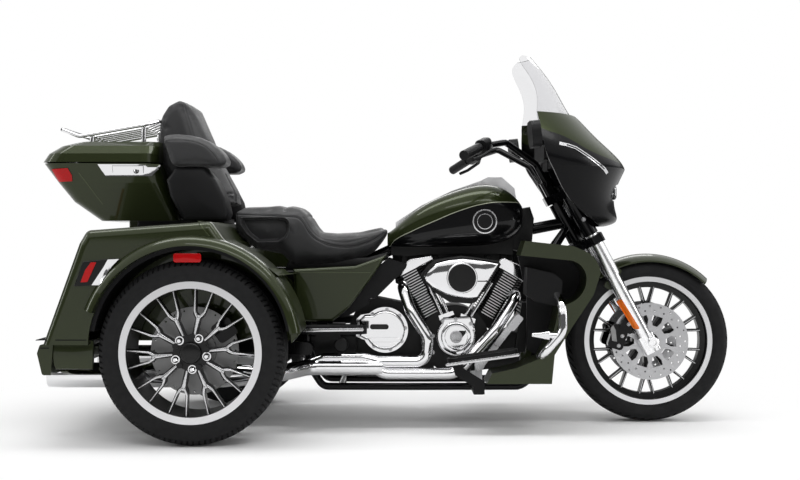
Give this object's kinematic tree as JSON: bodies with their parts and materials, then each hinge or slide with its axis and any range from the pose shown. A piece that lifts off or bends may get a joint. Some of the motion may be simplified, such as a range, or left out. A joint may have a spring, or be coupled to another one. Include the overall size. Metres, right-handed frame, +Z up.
{
  "type": "touring motor trike",
  "caption": "Touring motor trike with one steered front wheel, twin-cylinder engine, two rear wheels, rear trunk and a hinged luggage box.",
  "frame": {"origin": "on the floor, at the middle of the overall length and width", "axes": "+X forward along the vehicle, +Y to the rider's left, +Z up"},
  "size_m": [2.6459, 1.38, 1.434],
  "materials": {
    "body_green": "satin metallic green paint",
    "black_paint": "gloss black paint",
    "chrome": "polished chrome",
    "engine_black": "black powder coat with bare edges",
    "rubber": "tyre rubber",
    "black_plastic": "textured black plastic",
    "disc_steel": "brushed stainless steel",
    "wheel_black": "black with machined faces",
    "clear_screen": "clear sheet",
    "seat_cover": "black seat vinyl",
    "lamp_red": "red lens",
    "lamp_clear": "clear lens",
    "belt_rubber": "toothed belt rubber"
  },
  "bodies": {
    "chassis": {"air_cleaner": "chrome", "armrests": "seat_cover", "backrest": "seat_cover", "battery_box": "black_plastic", "cam_cover": "chrome", "crankcase": "engine_black", "cylinder_front": "engine_black", "cylinder_rear": "engine_black", "drive_belt": "belt_rubber", "engine_guard": "chrome", "exhaust_pipes": "chrome", "foot_controls": "black_paint", "frame": "black_paint", "fuel_tank": "body_green", "gearbox_cover": "chrome", "lower_fairings": "body_green", "lower_pods": "black_plastic", "luggage_box": "body_green", "mufflers": "chrome", "passenger_footboards": "black_plastic", "primary_cover": "chrome", "pushrod_tubes": "chrome", "rear_axle": "black_paint", "rear_body": "body_green", "rear_bumper": "body_green", "rear_lamps": "lamp_red", "rear_shocks": "black_paint", "rider_footboards": "black_plastic", "rocker_covers": "chrome", "seat": "seat_cover", "side_covers": "body_green", "speaker_pods": "black_plastic", "tank_console": "chrome", "wheel_liners": "black_plastic", "wiring_cover": "black_plastic"},
    "steering": {"fork_yokes": "black_paint", "fork_legs": "chrome", "front_fender": "body_green", "front_calipers": "black_paint", "outer_fairing": "body_green", "inner_fairing": "black_plastic", "headlamp": "lamp_clear", "windshield": "clear_screen", "handlebar": "black_paint", "hand_controls": "black_plastic", "mirrors": "black_plastic", "fairing_bracket": "black_paint"},
    "front_wheel": {"front_wheel": "wheel_black", "front_tyre": "rubber", "front_brake_discs": "disc_steel"},
    "rear_wheel_left": {"rear_wheel_left": "wheel_black", "rear_tyre_left": "rubber", "rear_brake_disc_left": "disc_steel"},
    "rear_wheel_right": {"rear_wheel_right": "wheel_black", "rear_tyre_right": "rubber", "rear_brake_disc_right": "disc_steel"},
    "luggage_lid": {"luggage_lid": "body_green", "luggage_rack": "chrome"},
    "trunk_door": {"trunk_door": "body_green"}
  },
  "joints": [
    {"name": "steering", "type": "hinge", "parent": "chassis", "child": "steering", "pos_m": [0.95102, 0, 0.29083], "axis": [-0.4695, 0, 0.8829], "range_deg": [-36, 36]},
    {"name": "front_wheel_spin", "type": "hinge", "parent": "steering", "child": "front_wheel", "pos_m": [1.004, 0, 0.319], "axis": [0, 1, 0], "continuous": true},
    {"name": "rear_wheel_left_spin", "type": "hinge", "parent": "chassis", "child": "rear_wheel_left", "pos_m": [-0.696, 0.545, 0.325], "axis": [0, 1, 0], "continuous": true},
    {"name": "rear_wheel_right_spin", "type": "hinge", "parent": "chassis", "child": "rear_wheel_right", "pos_m": [-0.696, -0.545, 0.325], "axis": [0, 1, 0], "continuous": true},
    {"name": "luggage_lid_hinge", "type": "hinge", "parent": "chassis", "child": "luggage_lid", "pos_m": [-1.09, 0.2875, 1.0055], "axis": [-1, 0, 0], "range_deg": [0, 75]},
    {"name": "trunk_door_hinge", "type": "hinge", "parent": "chassis", "child": "trunk_door", "pos_m": [-1.19593, 0, 0.39968], "axis": [0, -1, 0], "range_deg": [0, 95]}
  ]
}
